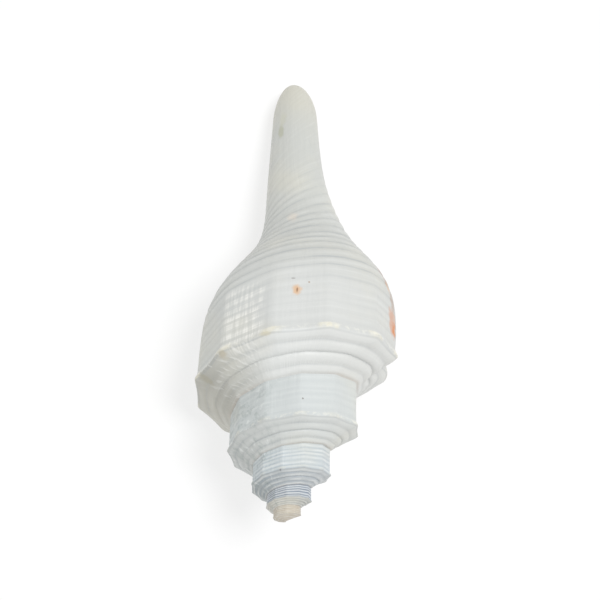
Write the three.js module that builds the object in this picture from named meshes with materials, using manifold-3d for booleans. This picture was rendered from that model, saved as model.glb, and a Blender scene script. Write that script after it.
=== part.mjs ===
import * as THREE from 'three';
import { ParametricGeometry } from 'three/addons/geometries/ParametricGeometry.js';
import { mergeVertices } from 'three/addons/utils/BufferGeometryUtils.js';
import Module from 'manifold-3d';

const wasm = await Module();
wasm.setup();
const { Manifold, Mesh } = wasm;

// A right-handed conch shell lying on its aperture, millimetres, +Z up.
// The shell is first worked out standing on its apex: the coiling axis is the local Y axis, the apex
// is at 0, and the angle around the axis starts at the middle of the back (+Z) and grows towards +X.
// A place on the coil is its turn number: 0 at the middle of the back of the last whorl, -1 one
// whorl earlier, and lipTurn at the edge of the outer lip.

// Driving dimensions of the coil
const shellLength = 160;
const backKeelRadius = 29;
const backKeelHeight = 41.6;
const radiusGrowth = 0.46;
const radiusSlowing = 0.023;
const heightGrowth = 0.594;
const heightSlowing = 0.046;
const firstTurn = -4.6;
const lipTurn = 0.39;

// The first whorl opens from a point over these parts of a turn
const radiusOpening = 0.9;
const heightOpening = 0.6;
const sutureOpening = 0.5;

// Ramp from the suture to the keel, in parts of the keel radius: its drop, its hollow and its terraces
const rampDrop = 0.272;
const rampHollow = 0.02;
const terraces = 4;
const terraceRelief = 0.026;
const terraceSpread = 0.85;

// Keel ridge and the nodules on it, in parts of the keel radius
const keelRidge = 0.012;
const noduleHeight = 0.026;
const noduleWidth = 0.05;

// Base and canal. The base ends at baseReach; the rest is told in parts of the length from the keel
// to the tip and of the keel radius.
const baseReach = 108;
const baseReachGrowth = 0.47;
const canalRadius = 0.405;
const canalTaper = 0.17;
const shoulderPlace = 0.325;
const shoulderSharpness = 5;
const canalTipStart = 0.86;
const facetFadeStart = 0.08;
const facetFadeSpan = 0.16;

// The canal stands off the axis by a lean and a bend, in millimetres, towards canalLeanAngle
const canalLean = 1;
const canalLeanSpan = 0.3;
const canalBend = 1.9;
const canalBendPlace = 0.42;
const canalBendSpan = 0.15;
const canalLeanAngle = THREE.MathUtils.degToRad(100);

// Nodules on the keel: how many per turn, how that changes, and where they start
const nodulesPerTurn = 11.75;
const noduleCrowding = 0.1;
const nodulePhase = 0.26;

// A healed break in the keel just before the lip
const breakTurn = 0.28;
const breakDepth = 2.6;
const breakWidth = 0.02;

// Lip: its edge is thinner than the wall, and curls round towards the canal by part of a turn
const wallThickness = 2.4;
const lipThickness = 1.4;
const lipThinning = 0.08;
const lipCurl = 0.07;
const curlStart = 62;
const curlSpan = 50;

// Hollow of the last whorl: its depth in turns, and how far it reaches over the base
const hollowDepth = 0.8;
const hollowReach = 0.6;
const hollowClosing = 0.15;
const innerLipReach = 0.15;
const innerLipClearance = 1.5;
const sectionBluntness = 0.35;
const callus = 0.4;
const columellaRadius = 5;
const columellaWaist = 0.45;
const columellaStart = 8;
const columellaSpan = 25;

// Trough of the siphonal canal, deepest in the middle of its length
const troughTurn = 0.057;
const troughWidth = 6.4;
const troughStart = 76;
const troughMiddle = 124;
const troughEnd = 166;
const troughFloor = -1;
const troughRise = 5;
const troughMouth = 24;

// How the shell lies: turned about its axis, then pitched so that the canal comes down to the floor
const restRoll = THREE.MathUtils.degToRad(17.67);
const restPitch = THREE.MathUtils.degToRad(9.565);

// Faceting
const stepsPerTurn = 48;
const rampSteps = 8;
const sideSteps = 3;
const baseSteps = 9;
const canalSteps = 9;
const tipCrowding = 1.5;
const hollowSteps = 26;
const hollowSides = 28;
const troughSteps = 12;
const troughSides = 20;

function smooth(x) {
  return THREE.MathUtils.smoothstep(x, 0, 1);
}

function bell(x) {
  return Math.exp(-x * x);
}

// Guide lines of the coil: the keel, the suture behind it and the end of the base
function keelRadius(turn) {
  const growth = Math.exp(radiusGrowth * turn - radiusSlowing * turn * turn);
  return backKeelRadius * growth * Math.sqrt(smooth((turn - firstTurn) / radiusOpening));
}

function keelHeight(turn) {
  const growth = Math.exp(heightGrowth * turn - heightSlowing * turn * turn);
  return backKeelHeight * growth * smooth((turn - firstTurn) / heightOpening);
}

function sutureHeight(turn) {
  const height = keelHeight(turn) - rampDrop * keelRadius(turn);
  return height * smooth((turn - firstTurn - 1) / sutureOpening);
}

function baseEnd(turn) {
  return baseReach * Math.exp(baseReachGrowth * turn);
}

// The nodule count at a turn is a whole number on a nodule
function noduleCount(turn) {
  return nodulePhase + nodulesPerTurn * turn + noduleCrowding * turn * turn;
}

function noduleSwell(turn) {
  return (0.5 + 0.5 * Math.cos(2 * Math.PI * noduleCount(turn))) ** 2;
}

// Flat facets from nodule to nodule: 0 at a corner, a few hundredths less than 0 in the middle
function facetDip(turn) {
  const count = noduleCount(turn);
  const fromMiddle = count - Math.floor(count) - 0.5;
  const halfAngle = Math.PI / nodulesPerTurn;
  return Math.cos(halfAngle) / Math.cos(2 * halfAngle * fromMiddle) - 1;
}

// Radius along the shell, in parts of the keel radius: cylindrical flank, round base, long canal
function fullness(along) {
  const canal = canalRadius - canalTaper * along;
  const body = canal + (1 - canal) / (1 + (along / shoulderPlace) ** shoulderSharpness);
  const tip = Math.max(along - canalTipStart, 0) / (1 - canalTipStart);
  return body * Math.sqrt(Math.max(1 - tip * tip, 0));
}

// How far the middle of the canal stands off the coiling axis
function axisOffset(along) {
  const bend = canalBend * bell((along - canalBendPlace) / canalBendSpan);
  return canalLean * smooth(along / canalLeanSpan) + bend * smooth(along / canalBendSpan);
}

// The same offset told by the height above the apex, as measured at the middle of the back
function offsetAt(height) {
  const along = (height - backKeelHeight) / (shellLength - backKeelHeight);
  return axisOffset(THREE.MathUtils.clamp(along, 0, 1));
}

// Towards the canal the edge of the lip curls round to the underside, by this part of a turn
function curl(height) {
  return lipCurl * smooth((height - curlStart) / curlSpan);
}

// A point of the whorl beyond the keel: flank, base and canal
function flankPoint(turn, height) {
  const keel = keelHeight(turn);
  const along = THREE.MathUtils.clamp((height - keel) / (shellLength - keel), 0, 1);
  const size = (keelRadius(turn) / backKeelRadius) ** (1 - 0.2 * smooth(along / 0.5));
  const faceted = 1 + facetDip(turn) * (1 - smooth((along - facetFadeStart) / facetFadeSpan));
  const ridge = keelRadius(turn) * (keelRidge + noduleHeight * noduleSwell(turn));
  const fromKeel = (height - keel) / (noduleWidth * keelRadius(turn) + 0.01);
  const scar = breakDepth * bell((turn - breakTurn) / breakWidth) * bell(fromKeel / 3);
  const radius = backKeelRadius * fullness(along) * size * faceted + ridge * bell(fromKeel) - scar;
  return { turn, radius, height, offset: axisOffset(along) };
}

// A point of the sloping ramp between the suture (0) and the keel (1), with its stair of terraces
function rampPoint(turn, share) {
  const inner = flankPoint(turn - 1, sutureHeight(turn));
  const outer = flankPoint(turn, keelHeight(turn));
  const innerRadius = turn - 1 > firstTurn ? inner.radius : 0;
  const terrace = terraces * share ** terraceSpread;
  const step = Math.abs(Math.sin(Math.PI * terrace)) ** 0.5 - 0.3;
  const edge = smooth(share / 0.05) * smooth((1 - share) / 0.05);
  const hollow = rampHollow * Math.sin(Math.PI * share);
  const lift = keelRadius(turn) * (terraceRelief * step * edge - hollow);
  return {
    turn,
    radius: THREE.MathUtils.lerp(innerRadius, outer.radius, share) + 0.6 * lift,
    height: THREE.MathUtils.lerp(inner.height, outer.height, share) - 0.8 * lift,
    offset: THREE.MathUtils.lerp(inner.offset, outer.offset, share),
  };
}

// Rows run across the whorl: 0 suture, 1 keel, 2 next suture, 3 end of the base, 4 canal tip
function whorlPoint(turn, row) {
  if (row < 1) return rampPoint(turn, row ** (1 / terraceSpread));
  const stops = [keelHeight(turn), sutureHeight(turn + 1), baseEnd(turn), shellLength];
  const zone = Math.min(Math.floor(row) - 1, 2);
  let share = row - 1 - zone;
  if (zone === 2) share = 1 - (1 - share) ** tipCrowding;
  const height = THREE.MathUtils.lerp(stops[zone], stops[zone + 1], share);
  return flankPoint(turn + curl(height), height);
}

function place(target, point) {
  const angle = 2 * Math.PI * point.turn;
  target.set(
    point.radius * Math.sin(angle) + point.offset * Math.sin(canalLeanAngle),
    point.height,
    point.radius * Math.cos(angle) + point.offset * Math.cos(canalLeanAngle),
  );
}

function spread(steps, start) {
  return Array.from({ length: steps }, (_, i) => start + i / steps);
}

// A sheet of the outside between two turns, over the given rows
function whorlSheet(fromTurn, toTurn, rows) {
  const steps = Math.round((toTurn - fromTurn) * stepsPerTurn);
  const surface = (u, v, target) => {
    const turn = toTurn - v * steps / stepsPerTurn;
    place(target, whorlPoint(turn, rows[Math.round(u * (rows.length - 1))]));
  };
  return new ParametricGeometry(surface, rows.length - 1, steps);
}

// The end face of the last whorl at the lip
function lipFace(rows) {
  const outer = rows.map((row) => whorlPoint(lipTurn, row));
  const inner = rows.map((row) => whorlPoint(lipTurn - 1, row)).filter((p) => p.height > outer[0].height);
  const loop = [...outer, ...inner.slice(0, -1).reverse()];
  const outline = loop.map((p) => new THREE.Vector2(p.radius, p.height));
  const faces = THREE.ShapeUtils.triangulateShape(outline, []);
  const corner = new THREE.Vector3();
  const positions = faces.map((face) => face.reverse()).flat().flatMap((i) => {
    place(corner, loop[i]);
    return corner.toArray();
  });
  const geometry = new THREE.BufferGeometry();
  geometry.setAttribute('position', new THREE.Float32BufferAttribute(positions, 3));
  return geometry;
}

// A closed solid from sheets that meet edge to edge
function solidFrom(sheets) {
  const positions = sheets.flatMap((sheet) => {
    const flat = sheet.index ? sheet.toNonIndexed() : sheet;
    return Array.from(flat.attributes.position.array);
  });
  const soup = new THREE.BufferGeometry();
  soup.setAttribute('position', new THREE.Float32BufferAttribute(positions, 3));
  const merged = mergeVertices(soup, 1e-3);
  const index = merged.index.array;
  const kept = [];
  for (let i = 0; i < index.length; i += 3) {
    const [a, b, c] = index.subarray(i, i + 3);
    if (a !== b && b !== c && c !== a) kept.push(a, b, c);
  }
  const vertProperties = merged.attributes.position.array;
  return new Manifold(new Mesh({ numProp: 3, vertProperties, triVerts: new Uint32Array(kept) }));
}

const rampRows = spread(rampSteps, 0);
const sideRows = spread(sideSteps, 1);
const spireRows = [...rampRows, ...sideRows, 2];
const lastRows = [...rampRows, ...sideRows, ...spread(baseSteps, 2), ...spread(canalSteps, 3), 4];
const spire = whorlSheet(firstTurn, lipTurn - 1, spireRows);
const last = whorlSheet(lipTurn - 1, lipTurn, lastRows);
const body = solidFrom([spire, last, lipFace(lastRows)]);

// The outer line of the hollow at a height: one wall inside the flank and inside the ramp
function hollowOuter(turn, height) {
  const inside = smooth((lipTurn - turn) / lipThinning);
  const wall = THREE.MathUtils.lerp(lipThickness, wallThickness, inside);
  const keel = keelHeight(turn);
  const suture = sutureHeight(turn);
  const start = rampPoint(turn, 0).radius;
  const slope = (keelRadius(turn) - start) / (keel - suture);
  const underRamp = start + slope * (height - suture) - wall * Math.hypot(1, slope);
  const underFlank = flankPoint(turn + curl(height), Math.max(height, keel)).radius - wall;
  return Math.min(underFlank, underRamp);
}

// The inner line: the whorl before, with a thin callus, drawn in to the columella towards the canal
function hollowInner(turn, height) {
  const before = flankPoint(turn - 1 + curl(height), height).radius;
  const drawnIn = columellaWaist * smooth((height - sutureHeight(turn) - columellaStart) / columellaSpan);
  const inside = Math.max(before * (1 - drawnIn), columellaRadius) + callus;
  const beyondLip = THREE.MathUtils.clamp((turn - lipTurn) / innerLipReach, 0, 1);
  return THREE.MathUtils.lerp(inside, before + innerLipClearance, beyondLip ** 1.5);
}

// Swing from one side of a closed section to the other, blunt at its two ends
function swing(around) {
  const side = around < 1 ? Math.sin(2 * Math.PI * around) : 0;
  return Math.sign(side) * Math.abs(side) ** sectionBluntness;
}

// The hollow of the last whorl: a closed bag swept along the coil, out into the air beyond the lip
function hollowBag() {
  const deepTurn = lipTurn - hollowDepth;
  const openTurn = lipTurn + innerLipReach + 0.04;
  const surface = (u, v, target) => {
    const turn = THREE.MathUtils.lerp(deepTurn, openTurn, v);
    const whorl = Math.min(turn, lipTurn);
    const closing = Math.sqrt(Math.min(1, (turn - deepTurn) / hollowClosing, (openTurn - turn) / 0.02));
    const low = sutureHeight(whorl) + 2 * wallThickness;
    const high = THREE.MathUtils.lerp(sutureHeight(whorl + 1), baseEnd(whorl), hollowReach);
    const height = THREE.MathUtils.lerp(high, low, 0.5 + 0.5 * closing * Math.cos(2 * Math.PI * u));
    const outer = hollowOuter(whorl, height);
    const inner = hollowInner(turn, height);
    const radius = (outer + inner) / 2 - closing * swing(u) * (outer - inner) / 2;
    place(target, { turn: turn + curl(height), radius, height, offset: offsetAt(height) });
  };
  return new ParametricGeometry(surface, hollowSides, hollowSteps);
}

// The open groove of the siphonal canal, a long trough with a round floor
function canalTrough() {
  const surface = (u, v, target) => {
    const height = THREE.MathUtils.lerp(troughStart, troughEnd, v);
    const open = v > 0 && v < 1 ? 1 : 0;
    const angle = 2 * Math.PI * (lipTurn + curl(height) + troughTurn);
    const outwards = new THREE.Vector3(Math.sin(angle), 0, Math.cos(angle));
    const across = new THREE.Vector3(outwards.z, 0, -outwards.x);
    const floor = troughFloor + troughRise * ((height - troughMiddle) / (shellLength - troughMiddle)) ** 2;
    const depth = THREE.MathUtils.lerp(floor, troughMouth, 0.5 - 0.5 * open * Math.cos(2 * Math.PI * u));
    place(target, { turn: 0, radius: 0, height, offset: offsetAt(height) });
    target.addScaledVector(outwards, depth);
    target.addScaledVector(across, -open * swing(u) * troughWidth / 2);
  };
  return new ParametricGeometry(surface, troughSides, troughSteps);
}

const hollow = solidFrom([hollowBag()]);
const trough = solidFrom([canalTrough()]);
const carved = body.subtract(hollow).subtract(trough);

// The shell's one material, off-white with a dull shine
const shellMaterial = new THREE.MeshStandardMaterial({ color: 0xdfe2dc, roughness: 0.45, metalness: 0 });

function shellMesh(solid) {
  const mesh = solid.getMesh();
  const geometry = new THREE.BufferGeometry();
  geometry.setAttribute('position', new THREE.BufferAttribute(Float32Array.from(mesh.vertProperties), 3));
  geometry.setIndex(Array.from(mesh.triVerts));
  geometry.rotateY(-restRoll);
  geometry.rotateX(-restPitch);
  geometry.computeBoundingBox();
  const { min, max } = geometry.boundingBox;
  geometry.translate(-(min.x + max.x) / 2, -(min.y + max.y) / 2, -min.z);
  const part = new THREE.Mesh(geometry, shellMaterial);
  part.name = 'shell';
  return part;
}

const conch = new THREE.Group();
conch.add(shellMesh(carved));

export default conch;
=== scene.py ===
import math
from types import SimpleNamespace

import bpy
import numpy as np
from mathutils import Matrix, Vector, geometry


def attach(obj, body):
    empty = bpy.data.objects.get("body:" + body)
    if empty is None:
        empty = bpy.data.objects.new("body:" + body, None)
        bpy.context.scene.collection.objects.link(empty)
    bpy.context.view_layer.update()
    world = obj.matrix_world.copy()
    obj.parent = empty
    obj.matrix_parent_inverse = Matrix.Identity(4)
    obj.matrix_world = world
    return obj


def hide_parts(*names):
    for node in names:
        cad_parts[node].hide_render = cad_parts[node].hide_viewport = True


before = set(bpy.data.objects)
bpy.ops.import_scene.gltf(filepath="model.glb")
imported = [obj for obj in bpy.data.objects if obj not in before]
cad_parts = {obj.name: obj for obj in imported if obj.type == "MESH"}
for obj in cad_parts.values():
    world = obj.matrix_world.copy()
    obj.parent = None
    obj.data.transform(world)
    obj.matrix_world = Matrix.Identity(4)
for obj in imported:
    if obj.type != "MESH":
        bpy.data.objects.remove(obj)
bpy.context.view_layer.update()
print("frame loaded")

# The shell is worked out standing on its apex, in millimetres. A place on the coil is its turn
# (0 at the middle of the back of the last whorl) and its height above the apex.

# The coil. The part's source has the same values, but for the four that are marked as the scene's own.
coil = {
    "length": 160.0,
    "keelRadius": 29.0,  # at turn 0
    "keelHeight": 41.6,
    "radiusGrowth": (0.46, 0.023),  # rate for each turn, and how much it slows
    "heightGrowth": (0.594, 0.046),
    "firstTurn": -4.6,
    "lipTurn": 0.39,
    # the scene's own: turns over which radius, keel and suture open from a point
    "opening": (0.55, 0.6, 0.5),
    "apexPoint": 0.012,  # the scene's own: turns over which the coil is still one point
    "apexWhorl": (-4.1, 0.35, 0.35, 0.7),  # the scene's own: turn, half width, wider by, lower by
    "lipDroop": (0.28, 0.07, 2.2),  # the scene's own, nearer to the apex at the lip: turn, span, mm
    "rampDrop": 0.272,  # of the keel radius, from the keel to the suture
    "baseReach": 108.0,
    "baseGrowth": 0.47,
    # from here places along the shell are 0 at the keel and 1 at the canal tip
    "canalRadius": 0.405,  # of the keel radius
    "canalTaper": 0.17,
    "shoulder": (0.325, 5.0),  # place, and how sharply it turns
    "tipStart": 0.86,
    "facetFade": (0.08, 0.16),  # from, over
    "canalGrowth": (0.2, 0.5),  # how much less than the keel the canal grows, over
    "canalLean": (1.0, 0.3),  # mm, over
    "canalBend": (1.9, 0.42, 0.15),  # mm, place, half width
    "leanAngle": 100.0,  # degrees round from the middle of the back
}

# Raised and sunk ornament of the outside. Relief is in parts of the keel radius unless it says mm.
# Zones are a start and a span, in turns or in parts of the way from the keel to the canal tip.
ornament = {
    "terraces": 4,
    "terraceSpread": 0.85,
    "terraceRelief": 0.026,
    "terraceSharpness": 0.5,
    "terraceWear": (0.64, 0.36, 0.1),  # mean strength, swing about it, turn where it is crisp
    "terraceZone": (-4.0, 0.5),  # turns
    "innerWear": 0.45,  # of the terraces next to the suture of the last whorl
    "innerWearZone": (-0.6, 0.3),  # turns
    "angularZone": (0.45, 0.5),  # across the ramp, from round to faceted
    "liftDirection": (0.6, 0.8),  # outwards, towards the apex
    "rampHollow": 0.02,
    "keelRidge": 0.012,
    "noduleHeight": 0.018,
    "noduleWidth": 0.045,
    "nodules": (0.26, 11.75, 0.1),  # count at turn 0, for each turn, for each turn squared
    "noduleUnevenness": 0.35,
    "roundSwell": 0.3,  # stands for the nodules where the whorl is round
    "meanDip": -0.015,
    "breakTurn": 0.268,
    "breakDepth": 3.4,  # mm
    "breakWidth": 0.02,  # turns
    "breakReach": 3.0,  # nodule widths up and down
    "wear": ((0.225, 0.03, 0.6), (0.325, 0.035, 2.0)),  # worn keel either side: turn, half width, mm
    "wearReach": 4.0,
    "sideCords": 6,
    "fewerCords": (-1.9, -1.0),  # one cord fewer on the small whorls, turns
    "baseCords": 14,
    "cordShift": (0.26, 6.0, 1.0),  # of a cord, from this count, over
    "cordWaver": (0.1, 1.7),  # of a cord, radians for each cord
    "cordSharpness": 0.6,
    "flankCordDepth": 0.06,  # mm on the last whorl
    "spireCordDepth": 0.22,  # mm on the third whorl from it
    "baseCordDepth": 0.42,  # mm
    "spireZone": (-0.7, -1.6),  # turns
    "lastWhorlZone": (-1.0, 0.4),  # turns
    "baseZone": (0.12, 0.08),
    "wornZone": (0.42, 0.2),
    "wornShare": 0.75,
    "canalZones": ((0.6, 0.2), (0.66, 0.2)),  # the cords fade out over both
    "smallWhorl": 6.0,  # mm of radius below which the relief fades
    "growthSwell": 0.10,  # mm
    "growthWaves": ((1.0, 23.2, 1.0, 0.0), (0.6, 58.4, 2.3, 0.0), (0.5, 145.0, 0.0, 0.02)),
    "growthFade": (20.0, 30.0),  # mm of radius at the apex, mm from the canal tip
}

# Lip, hollow and canal groove, in mm and turns
opening = {
    "wall": 2.4,
    "lipWall": 0.9,
    "lipThinning": 0.08,  # turns
    "curl": (0.07, 62.0, 50.0),  # turns, from this height, over
    "depth": 0.8,  # turns in from the lip
    "reach": 0.6,  # of the way from the suture to the end of the base
    "closing": 0.15,  # turns over which the hollow closes
    "innerLip": (0.15, 1.5),  # turns beyond the lip, mm off the whorl before
    "bluntness": 0.35,
    "callus": 0.4,
    "columella": (5.0, 0.45, 8.0, 25.0),  # radius, waist as a part, start, span
    "troughTurn": 0.057,  # beyond the lip
    "troughWidth": 6.4,
    "troughFrom": 76.0,
    "troughMiddle": 124.0,
    "troughTo": 166.0,
    "troughFloor": (-1.0, 5.0),  # from the axis in the middle, and how much it rises to the tip
    "troughMouth": 24.0,
    "edgeRounding": 0.9,  # mm either side of the cut edge
    "roundingPasses": 10,
}

# How the shell lies on the floor, in degrees
rest = {"roll": 17.67, "pitch": 9.565}

# Rows and columns of the meshes
fineness = {
    "perTurn": 168,
    "ramp": 26,
    "side": 26,
    "base": 84,
    "canal": 54,
    "tipCrowding": 1.5,
    "hollow": (120, 88),
    "trough": (48, 40),
}


def smooth(x):
    # 0 below 0, 1 above 1, and 3x^2 - 2x^3 between
    x = np.clip(x, 0.0, 1.0)
    return x * x * (3.0 - 2.0 * x)


def rise(x, zone):
    # a smooth step from the zone's start over its span, which is below 0 where it runs to the apex
    return smooth((x - zone[0]) / zone[1])


def bell(x):
    # e to the minus x squared
    return np.exp(-x * x)


def mix(a, b, share):
    # a at share 0, b at share 1, straight between
    return a + (b - a) * share


def keelRadius(turn):
    # exponential growth, a little slower with every whorl, opened from a point
    first, (rate, slowing) = coil["firstTurn"], coil["radiusGrowth"]
    grown = coil["keelRadius"] * np.exp(rate * turn - slowing * turn * turn)
    apexTurn, apexWidth, wider, _ = coil["apexWhorl"]
    grown = grown * (1 + wider * bell((turn - apexTurn) / apexWidth))
    return grown * np.sqrt(smooth((turn - first) / coil["opening"][0])) * (turn - first > coil["apexPoint"])


def keelHeight(turn):
    # the same growth for the height of the keel above the apex
    first, (rate, slowing) = coil["firstTurn"], coil["heightGrowth"]
    grown = coil["keelHeight"] * np.exp(rate * turn - slowing * turn * turn)
    apexTurn, apexWidth, _, lower = coil["apexWhorl"]
    grown = grown * (1 - lower * bell((turn - apexTurn) / apexWidth))
    droopTurn, droopSpan, droop = coil["lipDroop"]
    grown = grown - droop * smooth((turn - droopTurn) / droopSpan)
    return grown * smooth((turn - first) / coil["opening"][1]) * (turn - first > coil["apexPoint"])


def sutureHeight(turn):
    # the suture lies a part of the keel radius nearer to the apex than the keel
    height = keelHeight(turn) - coil["rampDrop"] * keelRadius(turn)
    opened = turn - coil["firstTurn"] - 1.0
    return height * smooth(opened / coil["opening"][2]) * (opened > coil["apexPoint"])


def baseEnd(turn):
    # the height where the base ends and the canal begins grows exponentially
    return coil["baseReach"] * np.exp(coil["baseGrowth"] * turn)


def curl(height):
    # towards the canal the lip curls round to the underside by this part of a turn
    amount, start, span = opening["curl"]
    return amount * smooth((height - start) / span)


def noduleCount(turn):
    # a whole number on each nodule
    phase, perTurn, crowding = ornament["nodules"]
    return phase + perTurn * turn + crowding * turn * turn


def noduleSwell(turn):
    # (0.5 + 0.5 cos)^2 along the keel, each nodule a little lower than full by its own amount
    count = noduleCount(turn)
    uneven = 0.5 + 0.5 * np.sin(2.4 * np.round(count) + 1.3)
    return (0.5 + 0.5 * np.cos(2 * np.pi * count)) ** 2 * (1 - ornament["noduleUnevenness"] * uneven)


def facetDip(turn):
    # flat facets between the nodules: 0 at a corner, below 0 between
    count = noduleCount(turn)
    half = np.pi / ornament["nodules"][1]
    return np.cos(half) / np.cos(2 * half * (count - np.floor(count) - 0.5)) - 1


def fullness(along):
    # radius along the shell: flat flank, rounded shoulder of the base, tapering canal, blunt tip
    place, sharpness = coil["shoulder"]
    canal = coil["canalRadius"] - coil["canalTaper"] * along
    body = canal + (1 - canal) / (1 + (along / place) ** sharpness)
    tip = np.maximum(along - coil["tipStart"], 0) / (1 - coil["tipStart"])
    return body * np.sqrt(np.maximum(1 - tip * tip, 0))


def axisOffset(along):
    # the canal leans by a smooth step and bends by a bell
    lean, leanSpan = coil["canalLean"]
    bend, bendPlace, bendSpan = coil["canalBend"]
    bent = bell((along - bendPlace) / bendSpan) * smooth(along / bendSpan)
    return lean * smooth(along / leanSpan) + bend * bent


def offsetAt(height):
    # the offset of the canal at a height, measured along the last whorl
    along = (height - coil["keelHeight"]) / (coil["length"] - coil["keelHeight"])
    return axisOffset(np.clip(along, 0, 1))


def cordCount(turn, height):
    # cords counted from the keel: a few to the next suture, then evenly over the base and on into the canal
    keel, suture = keelHeight(turn), sutureHeight(turn + 1)
    onSide = (height - keel) / np.maximum(suture - keel, 1e-6)
    onBase = (height - suture) / (baseEnd(turn) - suture)
    perSide = ornament["sideCords"] - rise(turn, ornament["fewerCords"])
    return np.where(onBase < 0, perSide * onSide, perSide + ornament["baseCords"] * np.maximum(onBase, 0))


def terraceStrength(turn):
    # the stair of the ramp is crisp on the right of the back and worn down on the left
    mean, sway, crispTurn = ornament["terraceWear"]
    return mean + sway * np.cos(2 * np.pi * (turn - crispTurn))


def cordRelief(turn, height):
    # grooves of |sin|^0.6 between rounded cords, sunk below the crests, deepest on the base
    count = cordCount(turn, height)
    shift, *shiftZone = ornament["cordShift"]
    waver, perCord = ornament["cordWaver"]
    unevenCount = count - shift * rise(count, shiftZone) + waver * np.sin(perCord * count)
    crest = np.abs(np.sin(np.pi * unevenCount)) ** ornament["cordSharpness"]
    keel = keelHeight(turn)
    along = np.clip((height - keel) / (coil["length"] - keel), 0, 1)
    fromKeel = smooth(count / 0.5) * np.clip(keelRadius(turn) / ornament["smallWhorl"], 0, 1)
    flank = mix(ornament["flankCordDepth"], ornament["spireCordDepth"], rise(turn, ornament["spireZone"]))
    canalZone, canalEndZone = ornament["canalZones"]
    worn = 1 - ornament["wornShare"] * rise(along, ornament["wornZone"])
    onBase = rise(along, ornament["baseZone"]) * worn * (1 - rise(along, canalEndZone))
    depth = mix(flank, ornament["baseCordDepth"], onBase * rise(turn, ornament["lastWhorlZone"]))
    uneven = 0.75 + 0.25 * np.sin(5.1 * count + 9 * turn) * np.sin(14 * turn + 1.3 * count)
    depth = depth * uneven * (1 - rise(along, canalZone))
    return -depth * (1 - crest) * fromKeel


def growthSwell(turn, height):
    # low axial swellings: half a sum of sines along the turn less 1.4, still at the apex and the canal tip
    waves = 0
    for share, perTurn, phase, perMm in ornament["growthWaves"]:
        waves = waves + share * np.sin(perTurn * turn + phase + perMm * height)
    apexFade, tipFade = ornament["growthFade"]
    fade = np.clip(keelRadius(turn) / apexFade, 0, 1) * smooth((coil["length"] - height) / tipFade)
    return ornament["growthSwell"] * (0.5 * waves - 1.4) * fade


def flankPoint(turn, height, angular=1.0):
    # radius = fullness x size of the whorl x facets + keel ridge with nodules - healed break + cords
    # angular is 1 where the whorl has its facets and nodules, and 0 where it is round
    keel = keelHeight(turn)
    radius = keelRadius(turn)
    along = np.clip((height - keel) / (coil["length"] - keel), 0, 1)
    less, over = coil["canalGrowth"]
    size = (radius / coil["keelRadius"]) ** (1 - less * smooth(along / over))
    dip = mix(ornament["meanDip"], facetDip(turn), angular)
    faceted = 1 + dip * (1 - rise(along, coil["facetFade"]))
    fromKeel = (height - keel) / (ornament["noduleWidth"] * radius + 0.01)
    swell = mix(ornament["roundSwell"], noduleSwell(turn), angular)
    ridge = radius * (ornament["keelRidge"] + ornament["noduleHeight"] * swell) * bell(fromKeel)
    fromBreak = (turn - ornament["breakTurn"]) / ornament["breakWidth"]
    scar = ornament["breakDepth"] * bell(fromBreak) * bell(fromKeel / ornament["breakReach"])
    for wearTurn, wearWidth, wearDepth in ornament["wear"]:
        worn = wearDepth * bell((turn - wearTurn) / wearWidth)
        scar = scar + worn * bell(fromKeel / ornament["wearReach"])
    plain = coil["keelRadius"] * fullness(along) * size * faceted + ridge - scar
    relief = cordRelief(turn, height) + growthSwell(turn, height)
    relief = relief * np.clip(plain / ornament["smallWhorl"], 0, 1)
    return plain + relief, height + 0 * turn, axisOffset(along)


def rampPoint(turn, share):
    # straight from the suture to the keel, hollowed a little, with a stair of terraces on it
    innerRadius, innerHeight, innerOffset = flankPoint(turn - 1, sutureHeight(turn))
    angular = rise(share, ornament["angularZone"])
    outerRadius, outerHeight, outerOffset = flankPoint(turn, keelHeight(turn), angular)
    innerRadius = np.where(turn - 1 > coil["firstTurn"], innerRadius, 0)
    terrace = ornament["terraces"] * share ** ornament["terraceSpread"]
    step = np.abs(np.sin(np.pi * terrace)) ** ornament["terraceSharpness"] - 0.3
    edge = smooth(share / 0.05) * smooth((1 - share) / 0.05)
    hollow = ornament["rampHollow"] * np.sin(np.pi * share)
    inner = rise(turn, ornament["innerWearZone"]) * (1 - smooth(share / 0.5))
    relief = ornament["terraceRelief"] * terraceStrength(turn) * (1 - ornament["innerWear"] * inner)
    relief = relief * rise(turn, ornament["terraceZone"])
    lift = keelRadius(turn) * (relief * step * edge - hollow)
    outwards, apexwards = ornament["liftDirection"]
    radius = mix(innerRadius, outerRadius, share) + outwards * lift
    height = mix(innerHeight, outerHeight, share) - apexwards * lift
    return radius, height, mix(innerOffset, outerOffset, share)


def place(turn, radius, height, offset):
    # around the coiling axis by the turn, and off it by the offset of the canal
    angle, lean = 2 * np.pi * turn, math.radians(coil["leanAngle"])
    across = radius * np.sin(angle) + offset * math.sin(lean)
    up = radius * np.cos(angle) + offset * math.cos(lean)
    return np.stack([across, height + 0 * across, up], -1)


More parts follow.
